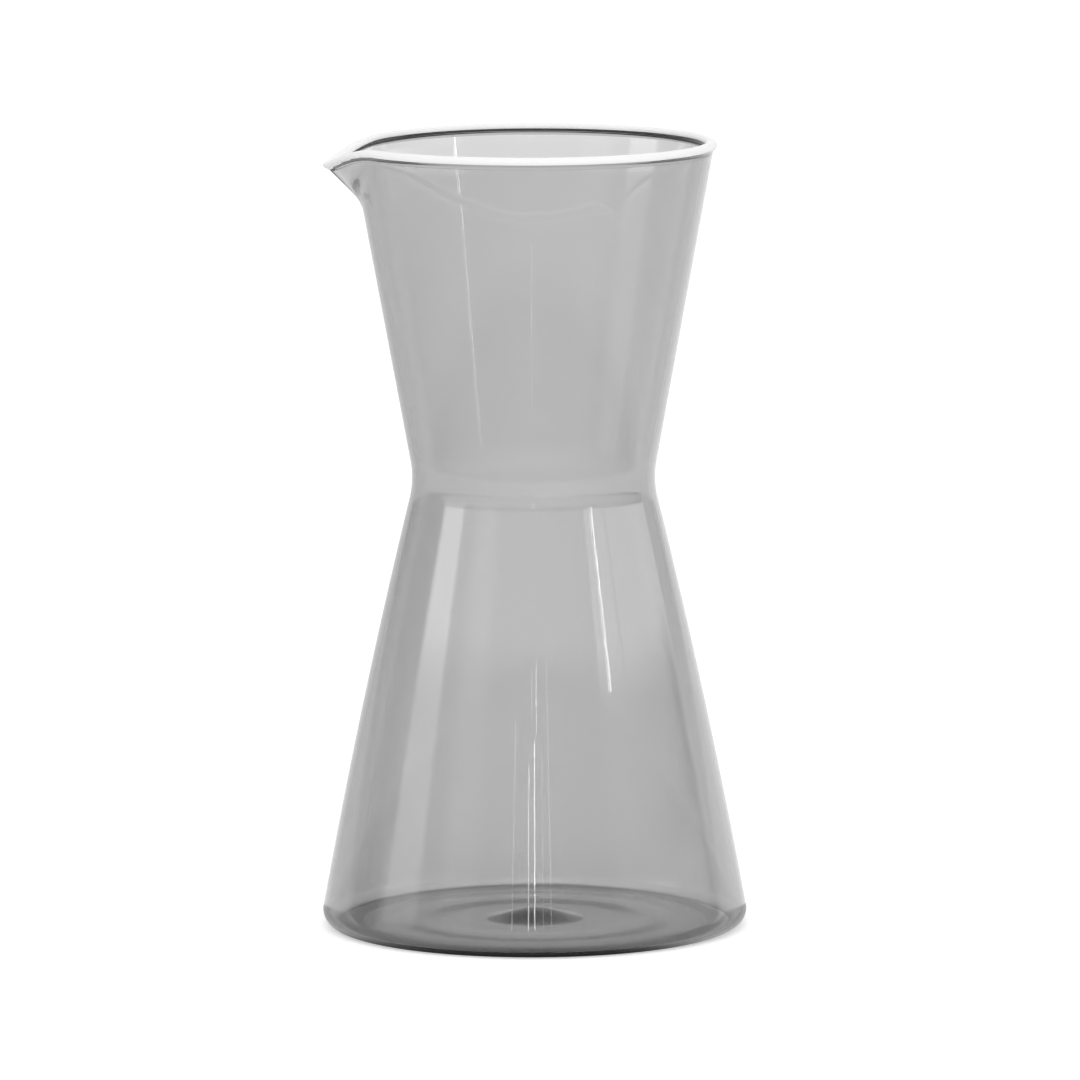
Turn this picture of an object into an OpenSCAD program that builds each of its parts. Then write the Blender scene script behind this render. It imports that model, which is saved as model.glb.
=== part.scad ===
// Coffee server carafe, blown in one piece of smoked glass: wide foot, narrow waist,
// flaring mouth with a rounded bead, and a small spout drawn out of the rim.
// Millimetres. Z is up from the table, the axis is at X = Y = 0, the spout points to -X.

/* [Overall] */
// Height from the table to the top of the rim
total_h = 200; // [170:1:240]
// Widest diameter, just above the foot
base_d = 107.6; // [96:0.1:120]
// Narrowest diameter, at the waist
waist_d = 61.6; // [50:0.1:72]
// Height of the waist above the table
waist_h = 114.7; // [100:0.1:128]
// Outer diameter of the rim
mouth_d = 93; // [84:0.1:102]

/* [Curves] */
// Radius of the rounded edge of the foot
heel_r = 4.2; // [2:0.1:5]
// Radius of the slight outward curve of the lower body
belly_r = 1750; // [600:10:4000]
// Radius of the smooth turn at the waist
waist_r = 23; // [10:0.5:40]

/* [Glass] */
// Thickness of the wall
wall_t = 1.6; // [1.2:0.1:2.2]
// Thickness of the floor
floor_t = 1.2; // [1:0.1:3]
// Radius where the floor turns up into the wall, inside
floor_r = 3; // [2.5:0.1:5]
// Thickness of the bead along the rim
bead_t = 3; // [2.6:0.1:4]
// Height of the bead along the rim
bead_h = 3.2; // [2.4:0.1:5]
// Radius where the bead runs out into the wall
bead_fillet_r = 3; // [1:0.1:5]

/* [Floor] */
// Width of the flat ring that the carafe stands on
ring_w = 6; // [3:0.5:12]
// Rise of the floor inside that ring
kick_h = 0.5; // [0.1:0.1:1.5]
// Diameter of the boss on top of the floor, in the middle
boss_d = 26; // [12:1:36]
// Height of the boss above the floor around it
boss_h = 2.5; // [0.4:0.1:4]
// Diameter of the low swell round the boss, along its top
swell_d = 58; // [44:1:70]
// Width of that swell
swell_w = 16; // [6:1:24]
// Height of that swell
swell_h = 0.15; // [0.05:0.05:0.6]

/* [Spout] */
// How far the lip reaches out past the rim
spout_reach = 7.6; // [4:0.1:11]
// How far the tip of the lip hangs below the rim
spout_drop = 5.7; // [2:0.1:8]
// Height of the wall that is drawn out into the spout
spout_h = 15.8; // [11:0.1:22]
// Length of the soft bend under the spout, as a share of the spout's height
spout_bend_share = 0.21; // [0.1:0.01:0.35]
// Angle over which the tip of the lip is rounded
spout_tip_angle = 1.2; // [0.5:0.1:5]
// Dip of the rim to both sides of the spout
spout_dip = 0.45; // [0:0.05:1.5]
// Angle to each side over which the rim dips
spout_dip_angle = 80; // [40:1:88]

/* [Hidden] */
$fn = 96;
// Steps along one arc of the section, up the wall under the rim, round the bead and its fillet
arc_steps = 12;
wall_steps = 7;
bead_steps = 7;
fillet_steps = 3;
// Steps from the axis to the edge of the floor
floor_steps = 34;
// Steps round the rim, from the spout's middle to each side
rim_steps = 48;
// How much closer together those steps lie at the spout's middle
rim_crowding = 1.5;
// How far the foot of the rim stands proud of the round wall under it
rim_proud = 0.07;

function turn(v) = atan2(v[1], v[0]);
function ray(a) = [cos(a), sin(a)];
function arc(c, r, from, to, n = arc_steps) = [for (i = [0 : n]) c + r * ray(from + (to - from) * i / n)];
function tail(list) = [for (i = [1 : len(list) - 1]) list[i]];
function turned(list) = [for (i = [len(list) - 1 : -1 : 0]) list[i]];
// Where two circles meet, on the left of the line from the first to the second
function meet(c1, r1, c2, r2) =
    let (d = norm(c2 - c1), u = (c2 - c1) / d, a = (r1 * r1 - r2 * r2 + d * d) / (2 * d))
    c1 + u * a + [-u[1], u[0]] * sqrt(r1 * r1 - a * a);

// Foot, lower body and waist are three arcs that touch one another
heel_c = [base_d / 2 - heel_r, heel_r];
waist_c = [waist_d / 2 + waist_r, waist_h];
belly_c = meet(heel_c, belly_r - heel_r, waist_c, belly_r + waist_r);
heel_a = turn(heel_c - belly_c);
waist_a = turn(waist_c - belly_c);

// The bead is a round, stretched along the wall and let into it with a fillet
bead_r = bead_t / 2;
bead_run = bead_r + sqrt(pow(bead_r + bead_fillet_r, 2) - pow(wall_t / 2 + bead_fillet_r, 2));
bead_stretch = bead_h / bead_run;
bead_c = [mouth_d / 2 - bead_r, total_h - bead_r * bead_stretch];
bead_a = atan2(wall_t / 2 + bead_fillet_r, bead_run - bead_r);

// The upper wall runs straight from the waist's arc to the middle of the bead
middle_r = waist_r + wall_t / 2;
upper_a = turn(bead_c - waist_c) + acos(middle_r / norm(bead_c - waist_c));
upper_from = waist_c + middle_r * ray(upper_a);
up = (bead_c - upper_from) / norm(bead_c - upper_from);
side = [up[1], -up[0]];
function upper_wall(z, h) = bead_c + up * ((z - bead_c[1] - side[1] * h) / up[1]) + side * h;
function bead(s, h) = bead_c + up * (bead_r - s) * bead_stretch + side * h;

// Half of the bead's section from the wall up to the crest, on the outside (+1) or the inside (-1)
function bead_half(way) = concat(
    [for (i = [0 : fillet_steps]) let (a = 90 - (90 - bead_a) * i / fillet_steps)
        bead(bead_run - bead_fillet_r * cos(a), way * (wall_t / 2 + bead_fillet_r * (1 - sin(a))))],
    [for (i = [1 : bead_steps]) let (a = (180 - bead_a) * (1 - i / bead_steps))
        bead(bead_r * (1 - cos(a)), way * bead_r * sin(a))]);

// The wall is drawn out into the spout only above this height
rim_z = total_h - spout_h * (1 + spout_bend_share) - wall_t;
wall_top = bead_c[1] + (bead_r - bead_run) * bead_stretch - wall_t / 2;
// Half of the rim's section from there up to the crest, on the outside (+1) or the inside (-1)
function rim_half(way) = concat(
    [upper_wall(rim_z, way * wall_t / 2) + [way * rim_proud, 0]],
    [for (i = [1 : wall_steps])
        upper_wall(rim_z + (wall_top - rim_z) * i / wall_steps, way * wall_t / 2)],
    bead_half(way));
rim_section = concat(rim_half(1), tail(turned(rim_half(-1))));

// Floor: a flat ring to stand on and a shallow rise inside it, with a boss and a low swell on top
ring_in = base_d / 2 - heel_r - ring_w;
inner_belly_r = belly_r - wall_t;
floor_c_z = floor_t + floor_r;
floor_c = [belly_c[0] + sqrt(pow(inner_belly_r - floor_r, 2) - pow(floor_c_z - belly_c[1], 2)), floor_c_z];
floor_a = turn(floor_c - belly_c);
function risen(edge, n) = [for (i = [0 : n]) [edge * i / n, kick_h * (1 - pow(i / n, 2))]];
// A soft bump: 1 in its middle, 0 from a share of 1 on to both sides
function bump(share) = (1 + cos(180 * min(1, abs(share)))) / 2;
function boss(r) = boss_h * bump(2 * r / boss_d);
function swell(r) = swell_h * bump((2 * r - swell_d) / swell_w);
floor_top = [for (p = risen(floor_c[0], floor_steps)) p + [0, floor_t + boss(p[0]) + swell(p[0])]];

body_section = concat(
    risen(ring_in, arc_steps),
    arc(heel_c, heel_r, -90, heel_a),
    tail(arc(belly_c, belly_r, heel_a, waist_a)),
    tail(arc(waist_c, waist_r, 180 + waist_a, upper_a)),
    [upper_wall(rim_z, wall_t / 2), upper_wall(rim_z, -wall_t / 2)],
    arc(waist_c, waist_r + wall_t, upper_a, 180 + waist_a),
    tail(arc(belly_c, inner_belly_r, waist_a, floor_a)),
    tail(arc(floor_c, floor_r, floor_a, -90)),
    tail(turned(floor_top)));

// The spout: every level is a circle with two tangents that meet at the tip, and the tip hangs down
function lip_share(z) =
    let (x = (z - total_h + spout_h) / spout_h, w = spout_bend_share)
    x < -w ? 0 : x > w ? x : pow(x + w, 2) / (4 * w);
function lip_out(z, t) =
    let (rim = mouth_d / 2, edge = acos(rim / (rim + spout_reach * lip_share(z))))
    rim * (1 / cos(edge - min(edge, norm([t, spout_tip_angle]))) - 1);
function lip_down(z, t) =
    lip_out(z, t) * spout_drop / spout_reach
    + spout_dip * lip_share(z) * pow(cos(90 * min(1, abs(t) / spout_dip_angle)), 2);
function lip_point(p, t) =
    let (r = p[0] + lip_out(p[1], t))
    [r * cos(180 + t), r * sin(180 + t), p[1] - lip_down(p[1], t)];

// The rim with its bead and spout, one section after the other round the axis
module rim() {
    n = len(rim_section);
    rings = 2 * rim_steps;
    points = [for (j = [-rim_steps : rim_steps - 1])
        let (t = 180 * sign(j) * pow(abs(j) / rim_steps, rim_crowding))
        for (p = rim_section) lip_point(p, t)];
    faces = [for (j = [0 : rings - 1]) for (i = [0 : n - 1])
        let (a = j * n + i, b = j * n + (i + 1) % n, next = ((j + 1) % rings - j) * n)
        each [[a, b, a + next], [b, b + next, a + next]]];
    polyhedron(points, faces);
}

module glass_body() {
    color([0.42, 0.43, 0.45, 0.5]) {
        rotate_extrude()
            polygon(body_section);
        rim();
    }
}

glass_body();
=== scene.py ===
"""Smoked glass coffee server: one blown piece with a drawn spout, on a white studio floor."""

import cmath
import math

import bpy
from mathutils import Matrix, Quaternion, Vector


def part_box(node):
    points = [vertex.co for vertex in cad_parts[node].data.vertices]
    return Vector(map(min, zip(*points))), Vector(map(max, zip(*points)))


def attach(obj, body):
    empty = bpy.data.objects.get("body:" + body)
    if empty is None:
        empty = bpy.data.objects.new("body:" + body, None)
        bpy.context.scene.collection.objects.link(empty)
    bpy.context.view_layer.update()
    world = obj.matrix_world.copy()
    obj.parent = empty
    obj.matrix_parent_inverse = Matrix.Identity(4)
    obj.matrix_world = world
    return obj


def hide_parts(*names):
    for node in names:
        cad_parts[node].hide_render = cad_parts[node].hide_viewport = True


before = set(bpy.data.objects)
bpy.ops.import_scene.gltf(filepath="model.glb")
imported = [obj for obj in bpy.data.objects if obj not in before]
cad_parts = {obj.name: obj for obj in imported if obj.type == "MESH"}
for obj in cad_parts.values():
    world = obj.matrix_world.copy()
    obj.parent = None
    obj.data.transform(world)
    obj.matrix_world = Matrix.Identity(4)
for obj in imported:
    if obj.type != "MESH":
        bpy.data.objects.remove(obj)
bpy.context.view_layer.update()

MM = 0.001

# The carafe, in metres. A point of the section is a complex number: distance from the axis, height.
TOP_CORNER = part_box("glass_body")[1]
TOTAL_H = TOP_CORNER.z
BASE_R = TOP_CORNER.y
WAIST_R = 30.8 * MM
WAIST_H = 114.7 * MM
MOUTH_R = 46.5 * MM
HEEL_CURVE = 4.2 * MM
BELLY_CURVE = 1750 * MM
WAIST_CURVE = 23 * MM
WALL = 1.6 * MM
FLOOR = 1.2 * MM
FLOOR_CURVE = 3 * MM
BEAD_T = 3 * MM
BEAD_H = 3.2 * MM
BEAD_FILLET = 3 * MM
RING_W = 6 * MM
KICK_H = 0.5 * MM
SWELL_R = 29 * MM
SWELL_W = 8 * MM
SWELL_H = 0.15 * MM
BOSS_R = 13 * MM
BOSS_H = 2.5 * MM

# The spout
SPOUT_REACH = 7.6 * MM
SPOUT_DROP = 5.7 * MM
SPOUT_H = 15.8 * MM
SPOUT_BEND_SHARE = 0.21
SPOUT_TIP_ANGLE = math.radians(1.2)
SPOUT_DIP = 0.45 * MM
SPOUT_DIP_ANGLE = math.radians(80)

# Steps of the mesh along each stretch of the section, and from the spout round to the far side
FLOOR_STEPS = 90
HEEL_STEPS = 14
BELLY_STEPS = 40
WAIST_STEPS = 28
WALL_STEPS = 40
FILLET_STEPS = 5
BEAD_STEPS = 14
TURN_STEPS = 120
TURN_CROWDING = 1.3

# How many steps of the bead next to its crest carry a painted highlight, a white band: inside, outside, and
# how many more outside at the spout's tip
RIM_HIGHLIGHT_STEPS = 11
RIM_HIGHLIGHT_OUTER_STEPS = 13
RIM_HIGHLIGHT_TIP_STEPS = 5
RIM_HIGHLIGHT_TIP_ANGLE = math.radians(30)


def ray(angle):
    return cmath.rect(1, angle)


def arc(centre, radius, start, end, steps):
    return [centre + radius * ray(start + (end - start) * i / steps) for i in range(steps + 1)]


def meet(c1, r1, c2, r2):
    """Where two circles meet, on the left of the line from the first to the second."""
    gap = abs(c2 - c1)
    along = (r1 * r1 - r2 * r2 + gap * gap) / (2 * gap)
    return c1 + (c2 - c1) / gap * complex(along, math.sqrt(r1 * r1 - along * along))


def eased(x):
    """A soft bump: 1 at 0, 0 from 1 on to both sides."""
    return (1 + math.cos(math.pi * min(1, abs(x)))) / 2


def risen(edge):
    """A shallow rise from the edge to the axis, given from the axis out."""
    radii = [edge * i / FLOOR_STEPS for i in range(FLOOR_STEPS + 1)]
    return [complex(r, KICK_H * (1 - (r / edge) ** 2)) for r in radii]


def floor_top(edge):
    """The inner floor from the axis to the wall: the same rise, a boss in the middle and a low swell."""
    points = []
    for point in risen(edge):
        swell = SWELL_H * eased((point.real - SWELL_R) / SWELL_W)
        boss = BOSS_H * eased(point.real / BOSS_R)
        points.append(point + complex(0, FLOOR + swell + boss))
    return points


def carafe_section():
    """The glass from the axis under the foot, up the outside, over the rim and down to the axis inside."""
    heel = complex(BASE_R - HEEL_CURVE, HEEL_CURVE)
    waist = complex(WAIST_R + WAIST_CURVE, WAIST_H)
    belly = meet(heel, BELLY_CURVE - HEEL_CURVE, waist, BELLY_CURVE + WAIST_CURVE)
    heel_angle = cmath.phase(heel - belly)
    waist_angle = cmath.phase(waist - belly)

    bead_r = BEAD_T / 2
    bead_run = bead_r + math.sqrt((bead_r + BEAD_FILLET) ** 2 - (WALL / 2 + BEAD_FILLET) ** 2)
    stretch = BEAD_H / bead_run
    bead = complex(MOUTH_R - bead_r, TOTAL_H - bead_r * stretch)
    bead_angle = math.atan2(WALL / 2 + BEAD_FILLET, bead_run - bead_r)

    middle_r = WAIST_CURVE + WALL / 2
    upper_angle = cmath.phase(bead - waist) + math.acos(middle_r / abs(bead - waist))
    foot = waist + middle_r * ray(upper_angle)
    up = (bead - foot) / abs(bead - foot)
    wall_length = abs(bead - foot) - (bead_run - bead_r) * stretch

    def upper_half(way):
        """The upper wall and half of the bead, on the outside (+1) or the inside (-1)."""
        half = [foot + up * complex(wall_length * i / WALL_STEPS, -way * WALL / 2) for i in range(WALL_STEPS)]
        for i in range(FILLET_STEPS + 1):
            a = math.pi / 2 - (math.pi / 2 - bead_angle) * i / FILLET_STEPS
            down = bead_run - BEAD_FILLET * math.cos(a)
            out = WALL / 2 + BEAD_FILLET * (1 - math.sin(a))
            half.append(bead + up * complex((bead_r - down) * stretch, -way * out))
        for i in range(1, BEAD_STEPS + 1):
            a = (math.pi - bead_angle) * (1 - i / BEAD_STEPS)
            half.append(bead + up * complex(bead_r * math.cos(a) * stretch, -way * bead_r * math.sin(a)))
        return half

    inner_belly = BELLY_CURVE - WALL
    corner_h = FLOOR + FLOOR_CURVE
    corner_r = belly.real + math.sqrt((inner_belly - FLOOR_CURVE) ** 2 - (corner_h - belly.imag) ** 2)
    corner = complex(corner_r, corner_h)
    corner_angle = cmath.phase(corner - belly)

    outside = risen(BASE_R - HEEL_CURVE - RING_W)
    outside += arc(heel, HEEL_CURVE, -math.pi / 2, heel_angle, HEEL_STEPS)
    outside += arc(belly, BELLY_CURVE, heel_angle, waist_angle, BELLY_STEPS)[1:]
    outside += arc(waist, WAIST_CURVE, math.pi + waist_angle, upper_angle, WAIST_STEPS)[1:-1]
    outside += upper_half(1)
    inside = floor_top(corner_r)
    inside += arc(corner, FLOOR_CURVE, -math.pi / 2, corner_angle, HEEL_STEPS)[1:]
    inside += arc(belly, inner_belly, corner_angle, waist_angle, BELLY_STEPS)[1:]
    inside += arc(waist, WAIST_CURVE + WALL, math.pi + waist_angle, upper_angle, WAIST_STEPS)[1:-1]
    inside += upper_half(-1)
    return outside + inside[-2::-1]


def drawn_out(point, t):
    """A point of the section at the angle t from the spout's middle: each level of the spout is a circle with
    two tangents that meet at the tip, and the tip hangs down."""
    x = (point.imag - TOTAL_H + SPOUT_H) / SPOUT_H
    bend = SPOUT_BEND_SHARE
    share = 0 if x < -bend else x if x > bend else (x + bend) ** 2 / (4 * bend)
    edge = math.acos(MOUTH_R / (MOUTH_R + SPOUT_REACH * share))
    out = MOUTH_R * (1 / math.cos(edge - min(edge, math.hypot(t, SPOUT_TIP_ANGLE))) - 1)
    dip = SPOUT_DIP * share * math.cos(math.pi / 2 * min(1, abs(t) / SPOUT_DIP_ANGLE)) ** 2
    return point + complex(out, -out * SPOUT_DROP / SPOUT_REACH - dip)


def carafe_mesh():
    """The section carried round the axis, closer together at the spout, with a pole at each end."""
    section = carafe_section()
    rings = section[1:-1]
    turns = range(-TURN_STEPS, TURN_STEPS)
    angles = [math.copysign(math.pi * (abs(j) / TURN_STEPS) ** TURN_CROWDING, j) for j in turns]
    points = [(0, 0, section[0].imag)]
    for point in rings:
        for t in angles:
            p = drawn_out(point, t)
            points.append((p.real * math.cos(math.pi + t), p.real * math.sin(math.pi + t), p.imag))
    points.append((0, 0, section[-1].imag))
    count = len(angles)
    last = len(points) - 1
    crest = max(range(len(rings)), key=lambda i: rings[i].imag)
    faces = []
    highlight_faces = []
    for j in range(count):
        k = (j + 1) % count
        tip = round(RIM_HIGHLIGHT_TIP_STEPS * max(0, 1 - abs(angles[j]) / RIM_HIGHLIGHT_TIP_ANGLE))
        faces.append((0, 1 + k, 1 + j))
        for i in range(len(rings) - 1):
            low = 1 + i * count
            # faces next to the crest take the painted white highlight
            if crest - RIM_HIGHLIGHT_OUTER_STEPS - tip <= i < crest + RIM_HIGHLIGHT_STEPS:
                highlight_faces.append(len(faces))
            faces.append((low + j, low + k, low + count + k, low + count + j))
        top = 1 + (len(rings) - 1) * count
        faces.append((top + j, top + k, last))
    mesh = bpy.data.meshes.new("carafe")
    mesh.from_pydata(points, [], faces)
    mesh.shade_smooth()
    mesh.materials.append(smoked_glass())
    # The second material: a white band painted over the bead's crest as its highlight
    mesh.materials.append(painted_highlight_glass())
    for i in highlight_faces:
        mesh.polygons[i].material_index = 1
    return mesh


class NodeKit:
    """Short ways to add nodes to a shader tree, which is emptied first."""

    def __init__(self, tree):
        self.nodes, self.links = tree.nodes, tree.links
        self.nodes.clear()

    def add(self, kind, **values):
        node = self.nodes.new("ShaderNode" + kind)
        for name, value in values.items():
            self.put(node.inputs[name.replace("_", " ")], value)
        return node

    def put(self, socket, value):
        if isinstance(value, bpy.types.NodeSocket):
            self.links.new(value, socket)
        else:
            socket.default_value = value

    def math(self, operation, first, second=0):
        node = self.nodes.new("ShaderNodeMath")
        node.operation = operation
        self.put(node.inputs[0], first)
        self.put(node.inputs[1], second)
        return node.outputs[0]

    def times(self, first, *others):
        for other in others:
            first = self.math("MULTIPLY", first, other)
        return first

    def step(self, value, middle, blur, low=0, high=1):
        """A smooth step from low to high where the value passes the middle."""
        node = self.add("MapRange", Value=value, To_Min=low, To_Max=high)
        node.interpolation_type = "SMOOTHSTEP"
        self.put(node.inputs["From Min"], middle - blur)
        self.put(node.inputs["From Max"], middle + blur)
        return node.outputs["Result"]

    def between(self, value, start, end, blur):
        return self.times(self.step(value, start, blur), self.step(value, end, blur, 1, 0))

    def reflected(self):
        """1 for a ray that was mirrored on its way, 0 for a look straight on or through the glass."""
        return self.math("MINIMUM", self.add("LightPath").outputs["Glossy Depth"], 1)


def new_material(name):
    material = bpy.data.materials.new(name)
    material.use_nodes = True
    return material, NodeKit(material.node_tree)


def in_scene(name, data):
    """A new object in the scene."""
    thing = bpy.data.objects.new(name, data)
    bpy.context.scene.collection.objects.link(thing)
    return thing


# The glass: grey smoke in the melt, a fire polished skin with faint marks from blowing and turning
GLASS_IOR = 1.48
CLEAR = (1, 1, 1, 1)
SMOKE_COLOUR = (0.42, 0.42, 0.42, 1)
SMOKE_DENSITY = 430
RIPPLES_PER_METRE = (260, 260, 90)
RIPPLE_DETAIL = 2
RIPPLE_DEPTH = 0.005 * MM
HAZE_ROUGHNESS = (0.0, 0.004)


def smoked_glass():
    material, kit = new_material("smoked_glass")
    stretched = kit.add("VectorMath")
    stretched.operation = "MULTIPLY"
    kit.put(stretched.inputs[0], kit.add("TexCoord").outputs["Object"])
    kit.put(stretched.inputs[1], RIPPLES_PER_METRE)
    ripple = kit.add("TexNoise", Vector=stretched.outputs[0], Scale=1, Detail=RIPPLE_DETAIL).outputs["Fac"]
    haze = kit.add("MapRange", Value=ripple, To_Min=HAZE_ROUGHNESS[0], To_Max=HAZE_ROUGHNESS[1])
    bump = kit.add("Bump", Height=ripple, Strength=1, Distance=RIPPLE_DEPTH)
    skin = kit.add("BsdfPrincipled", Base_Color=CLEAR, Transmission_Weight=1, IOR=GLASS_IOR)
    kit.put(skin.inputs["Roughness"], haze.outputs["Result"])
    kit.put(skin.inputs["Normal"], bump.outputs["Normal"])
    smoke = kit.add("VolumeAbsorption", Color=SMOKE_COLOUR, Density=SMOKE_DENSITY)
    kit.add("OutputMaterial", Surface=skin.outputs["BSDF"], Volume=smoke.outputs["Volume"])
    return material


# The painted highlight on the rim: white, with fine specks
RIM_HIGHLIGHT_COLOURS = (0.97, 1.0)
RIM_HIGHLIGHT_ROUGHNESS = (0.5, 0.8)
RIM_HIGHLIGHT_GRAIN = 2500
RIM_HIGHLIGHT_GRAIN_DETAIL = 3
RIM_HIGHLIGHT_GRAIN_STEP = (0.5, 0.3)
RIM_HIGHLIGHT_DEPTH = 0.01 * MM


def painted_highlight_glass():
    material, kit = new_material("painted_rim_highlight")
    spot = kit.add("TexCoord").outputs["Object"]
    grain = kit.add("TexNoise", Vector=spot, Scale=RIM_HIGHLIGHT_GRAIN, Detail=RIM_HIGHLIGHT_GRAIN_DETAIL).outputs["Fac"]
    white = kit.add("CombineColor")
    for channel in white.inputs:
        kit.put(channel, kit.step(grain, *RIM_HIGHLIGHT_GRAIN_STEP, *RIM_HIGHLIGHT_COLOURS))
    bump = kit.add("Bump", Height=grain, Distance=RIM_HIGHLIGHT_DEPTH)
    skin = kit.add("BsdfPrincipled", Base_Color=white.outputs[0], IOR=GLASS_IOR)
    kit.put(skin.inputs["Roughness"], kit.step(grain, *RIM_HIGHLIGHT_GRAIN_STEP, *RIM_HIGHLIGHT_ROUGHNESS))
    kit.put(skin.inputs["Normal"], bump.outputs["Normal"])
    kit.add("OutputMaterial", Surface=skin.outputs[0])
    return material


# The studio. A look straight at it or through the glass meets a white floor and a white world. A reflection
# meets what stands round the camera: a table in a dark room, softboxes, a ceiling and a backdrop.
ROOM_LEVEL = 0.04
SIDE_BLUR = 0.3

# The floor: how far it reaches from the axis, and its glow straight on and through the glass
FLOOR_HALF = 12.0
FLOOR_COLOUR = (0.9, 0.9, 0.9, 1)
FLOOR_GLOW = 0.45
FLOOR_GLOW_IN_GLASS = 0.38

# Painted shadow in the floor's glow close to the carafe: some of the glow under the middle, nearly none where
# the foot stands, all of it outside two discs, each with its middle on X and its radius
SHADOW_UNDER_R = 0.8 * BASE_R
SHADOW_UNDER_BLUR = 0.1 * BASE_R
SHADOW_UNDER_LEVEL = 0.29
CONTACT_SHADOW_DISCS = ((-0.16 * BASE_R, 1.07 * BASE_R), (0.1 * BASE_R, 1.05 * BASE_R))
CONTACT_SHADOW_BLUR = 0.05 * BASE_R
CONTACT_SHADOW_LEVEL = 0.06

# The table in reflections: its sides, its levels on the left and the right, how much of that is left in a
# painted shadow near the carafe, and how much behind it
TABLE_SIDE = 2.5
TABLE_BLUR = 0.02
TABLE_LEVELS = (1.1, 1.4)
TABLE_NEAR = 0.37
TABLE_NEAR_BLUR = 0.03
TABLE_SHADOW_SHARE = 0.5
BEHIND_SHARE = 0.87

# The backdrop behind the carafe: how far it turns to the sides as a share of Y in the direction, its levels
# on the left and the right, and what a broad middle adds
BACKDROP_TURN = 0.5
BACKDROP_BLUR = 0.03
BACKDROP_LEVELS = (0.8, 1.15)
BACKDROP_MIDDLE = 0.5
BACKDROP_WIDTH = 0.45

# The ceiling, from an elevation in degrees up, as far back as a share of Y in the direction
CEILING_FROM = 45
CEILING_BLUR = 3
CEILING_BACK = 0.4
CEILING_BACK_BLUR = 0.1
CEILING_LEVEL = 3

# Azimuth from, to and blur, elevation from, to and blur, in degrees as in around(), and the level. Elevations
# are for the front: to the sides every edge sinks, so that it is level in the carafe's reflection.
LOOK_DOWN = 7.6
SOFTBOXES = (
    (-96, 118, 5, -20, 11.5, 0.7, 1.0),
    (-92, 48, 5, 16.8, 45, 0.6, 1.1),
    (-92, -69, 1.5, 10.5, 34, 2, 1.9),
    (-92, -69, 1.5, 16.4, 34, 1, 1.6),
    (-55, -34, 5, 10.5, 34, 2, 0.5),
    (-55, -34, 5, 16.6, 34, 1, 0.3),
    (48, 112, 5, 10.5, 34, 2, 0.5),
    (48, 68.4, 0.8, 16.3, 34, 0.8, 2.2),
    (69.6, 122, 0.8, 16.3, 34, 0.8, 2.2),
)

# Azimuth and elevation in degrees as in around(), distance, width and height, and the radiance
LAMPS = {
    "high_softbox": (0, 50, 1.6, 1.2, 1.2, 0.9),
    "right_strip": (55, 22.5, 1.2, 0.012, 0.48, 24),
    "front_strip_low": (0, 11.3, 3.0, 0.018, 0.275, 17),
    "front_strip_high": (1.35, 15.1, 3.0, 0.016, 0.105, 11),
    "left_strip_low": (-3.5, 11, 3.0, 0.018, 0.242, 10),
    "left_strip_high": (-1.75, 15.2, 3.0, 0.016, 0.064, 5),
    "far_left_strip": (-12.5, 11.5, 3.0, 0.014, 0.3, 5),
    "far_right_strip": (9, 12.4, 3.0, 0.014, 0.385, 5),
    "thin_right_strip": (4.7, 11.2, 3.0, 0.01, 0.262, 4),
    "edge_strip": (-116.5, 6, 3.0, 0.012, 0.9, 4),
    "thin_edge_strip": (-112.5, 6, 3.0, 0.012, 0.9, 3),
}


def floor_material():
    material, kit = new_material("white_floor")
    spot = kit.add("TexCoord").outputs["Object"]
    length = kit.add("VectorMath")
    length.operation = "LENGTH"
    kit.put(length.inputs[0], spot)
    away = length.outputs["Value"]
    x, y = kit.add("SeparateXYZ", Vector=spot).outputs[:2]
    path = kit.add("LightPath").outputs

    # Painted shadow under the carafe: the glow seen through the glass and the table in reflections darken
    # there
    painted_shadow_factor = kit.step(away, SHADOW_UNDER_R, SHADOW_UNDER_BLUR, SHADOW_UNDER_LEVEL, 0)
    for middle, radius in CONTACT_SHADOW_DISCS:
        across = kit.math("SUBTRACT", x, middle)
        shade = kit.math("SQRT", kit.math("ADD", kit.times(across, across), kit.times(y, y)))
        painted_shadow_factor = kit.math("MAXIMUM", painted_shadow_factor, kit.step(shade, radius, CONTACT_SHADOW_BLUR, CONTACT_SHADOW_LEVEL, 1))
    glow = kit.times(path["Is Transmission Ray"], painted_shadow_factor, FLOOR_GLOW_IN_GLASS)
    glow = kit.math("ADD", glow, kit.times(path["Is Camera Ray"], FLOOR_GLOW))
    white = kit.add("AddShader")
    kit.put(white.inputs[0], kit.add("BsdfDiffuse", Color=FLOOR_COLOUR).outputs[0])
    kit.put(white.inputs[1], kit.add("Emission", Strength=glow).outputs[0])

    table = kit.between(x, -TABLE_SIDE, TABLE_SIDE, TABLE_BLUR)
    # Painted shadow on the table near the carafe
    table = kit.times(table, kit.step(away, TABLE_NEAR, TABLE_NEAR_BLUR, TABLE_SHADOW_SHARE, 1))
    behind = kit.step(kit.math("DIVIDE", y, away), BACKDROP_TURN, BACKDROP_BLUR)
    table = kit.add("Mix", Factor=behind, A=table, B=BEHIND_SHARE).outputs["Result"]
    table = kit.times(table, painted_shadow_factor, kit.step(x, 0, SIDE_BLUR, *TABLE_LEVELS))
    mirrored = kit.add("Emission", Strength=kit.math("MAXIMUM", table, ROOM_LEVEL))
    either = kit.add("MixShader", Fac=kit.reflected())
    kit.put(either.inputs[1], white.outputs[0])
    kit.put(either.inputs[2], mirrored.outputs[0])
    kit.add("OutputMaterial", Surface=either.outputs[0])
    return material


def studio_floor():
    mesh = bpy.data.meshes.new("studio_floor")
    corners = [(x * FLOOR_HALF, y * FLOOR_HALF, 0) for x, y in ((-1, -1), (1, -1), (1, 1), (-1, 1))]
    mesh.from_pydata(corners, [], [(0, 1, 2, 3)])
    mesh.materials.append(floor_material())
    in_scene("studio_floor", mesh)


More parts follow.
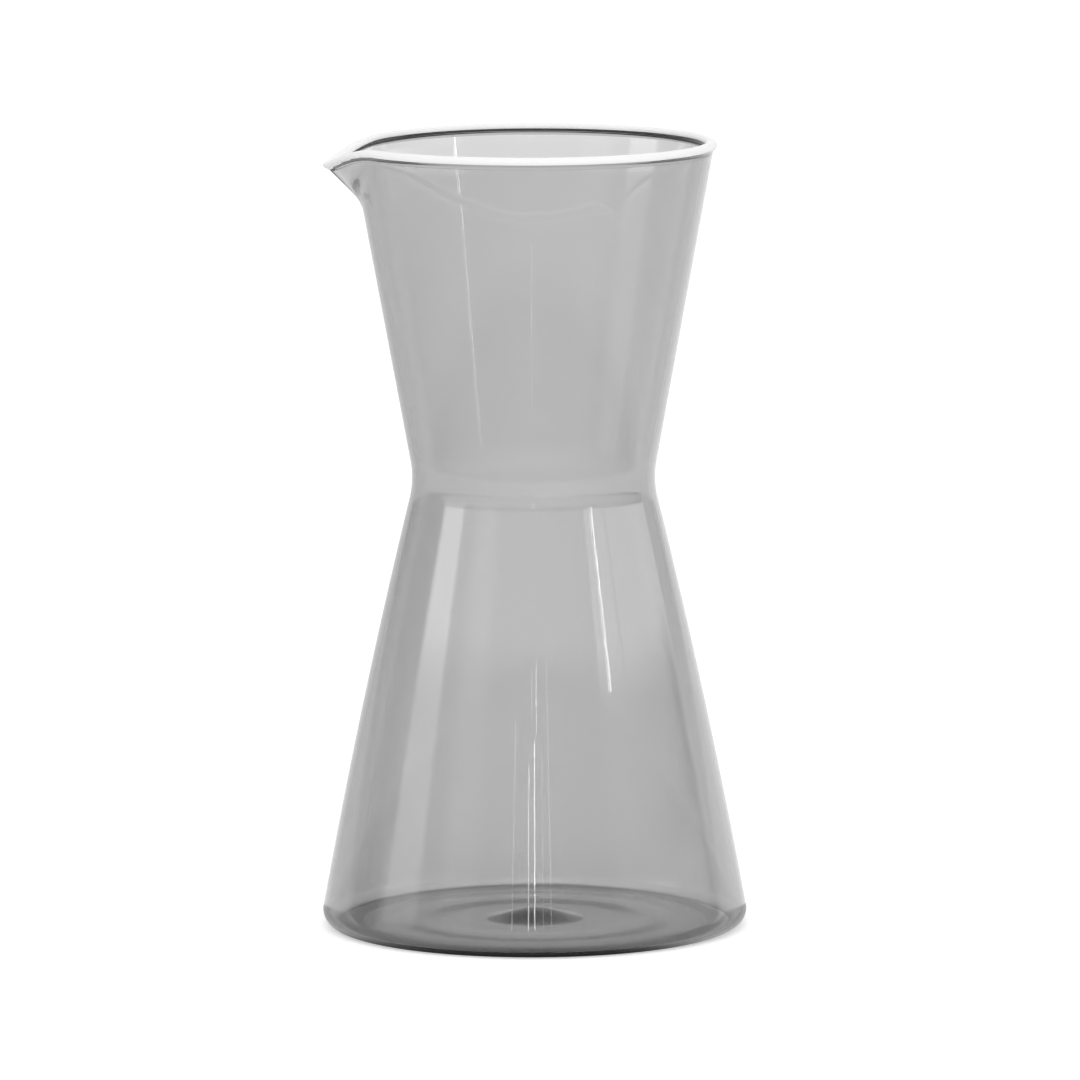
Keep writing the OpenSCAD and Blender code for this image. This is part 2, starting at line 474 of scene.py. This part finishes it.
def studio_world():
    world = bpy.data.worlds.new("studio")
    bpy.context.scene.world = world
    world.use_nodes = True
    kit = NodeKit(world.node_tree)
    x, y, z = kit.add("SeparateXYZ", Vector=kit.add("TexCoord").outputs["Generated"]).outputs
    azimuth = kit.math("ARCTAN2", x, kit.times(y, -1))
    elevation = kit.math("ARCSINE", z)

    half = BACKDROP_WIDTH / 2
    middle = kit.step(kit.math("ABSOLUTE", x), half, half, BACKDROP_MIDDLE, 0)
    backdrop = kit.math("ADD", kit.step(x, 0, SIDE_BLUR, *BACKDROP_LEVELS), middle)
    room = kit.times(kit.step(y, BACKDROP_TURN, BACKDROP_BLUR), backdrop)
    room = kit.math("MAXIMUM", room, ROOM_LEVEL)
    ceiling = kit.step(elevation, math.radians(CEILING_FROM), math.radians(CEILING_BLUR), 0, CEILING_LEVEL)
    ceiling = kit.times(ceiling, kit.step(y, CEILING_BACK, CEILING_BACK_BLUR, 1, 0))
    room = kit.math("ADD", room, ceiling)

    turned = kit.math("SUBTRACT", 1, kit.math("COSINE", kit.times(azimuth, 0.5)))

    def above(edge, blur, *levels):
        """A step in elevation that sinks to the sides."""
        sunk = kit.times(turned, math.sin(edge + math.radians(LOOK_DOWN)))
        return kit.step(kit.math("ADD", z, sunk), math.sin(edge), blur, *levels)

    for *edges, level in SOFTBOXES:
        left, right, side_blur, low, high, blur = [math.radians(edge) for edge in edges]
        box = kit.times(above(low, blur), above(high, blur, 1, 0), level)
        room = kit.math("ADD", room, kit.times(box, kit.between(azimuth, left, right, side_blur)))

    reflected = kit.reflected()
    plain = kit.math("SUBTRACT", 1, reflected)
    sky = kit.add("Background", Strength=kit.math("ADD", plain, kit.times(reflected, room)))
    kit.add("OutputWorld", Surface=sky.outputs[0])


def around(azimuth, elevation, distance):
    """A point round the carafe. Azimuth 0 is on the camera's side and turns to the right, in degrees."""
    a, e = math.radians(azimuth), math.radians(elevation)
    flat = distance * math.cos(e)
    return Vector((flat * math.sin(a), -flat * math.cos(a), TOTAL_H / 2 + distance * math.sin(e)))


def panel(name, azimuth, elevation, distance, width, height, radiance):
    """A flat lamp that faces the carafe, as bright as it looks in a mirror."""
    lamp = bpy.data.lights.new(name, "AREA")
    lamp.shape = "RECTANGLE"
    lamp.size = width
    lamp.size_y = height
    lamp.energy = radiance * math.pi * width * height
    place = in_scene(name, lamp)
    place.location = around(azimuth, elevation, distance)
    toward = Vector((0, 0, TOTAL_H / 2)) - place.location
    place.rotation_mode = "QUATERNION"
    place.rotation_quaternion = toward.to_track_quat("-Z", "Y")
    place.visible_camera = False


# The camera: a long lens a little above the rim's height
CAMERA_DISTANCE = 2.7
CAMERA_ELEVATION = math.radians(7.765)
CAMERA_ROLL = math.radians(-0.154)
CAMERA_LENS = 355.7
CAMERA_REACH = 4 * FLOOR_HALF
SENSOR = 36
FRAME_PIXELS = 1080
MIDDLE_PIXEL = (533.82, 533.66)


def photo_camera():
    """Looks along +Y at the carafe's middle, which lands at the pixel MIDDLE_PIXEL of the frame."""
    data = bpy.data.cameras.new("camera")
    data.sensor_width = SENSOR
    data.lens = CAMERA_LENS
    data.clip_end = CAMERA_REACH
    back = Vector((0, -math.cos(CAMERA_ELEVATION), math.sin(CAMERA_ELEVATION)))
    right = Vector((1, 0, 0))
    up = back.cross(right)
    pixel = CAMERA_DISTANCE * SENSOR / CAMERA_LENS / FRAME_PIXELS
    aside = right * (FRAME_PIXELS / 2 - MIDDLE_PIXEL[0]) * pixel
    below = up * (FRAME_PIXELS / 2 - MIDDLE_PIXEL[1]) * pixel
    camera = in_scene("camera", data)
    camera.location = Vector((0, 0, TOTAL_H / 2)) + back * CAMERA_DISTANCE + aside - below
    camera.rotation_mode = "QUATERNION"
    roll = Quaternion((0, 0, 1), CAMERA_ROLL)
    camera.rotation_quaternion = (-back).to_track_quat("-Z", "Y") @ roll
    bpy.context.scene.camera = camera


# How often light may bounce, enough to cross four walls of glass and be mirrored in them
BOUNCES = 24
MIRROR_BOUNCES = 16

scene = bpy.context.scene
scene.view_settings.view_transform = "Standard"
scene.cycles.max_bounces = BOUNCES
scene.cycles.transmission_bounces = BOUNCES
scene.cycles.glossy_bounces = MIRROR_BOUNCES

carafe = in_scene("carafe", carafe_mesh())
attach(carafe, "root")
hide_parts("glass_body")

studio_floor()
studio_world()
for name, place in LAMPS.items():
    panel(name, *place)
photo_camera()
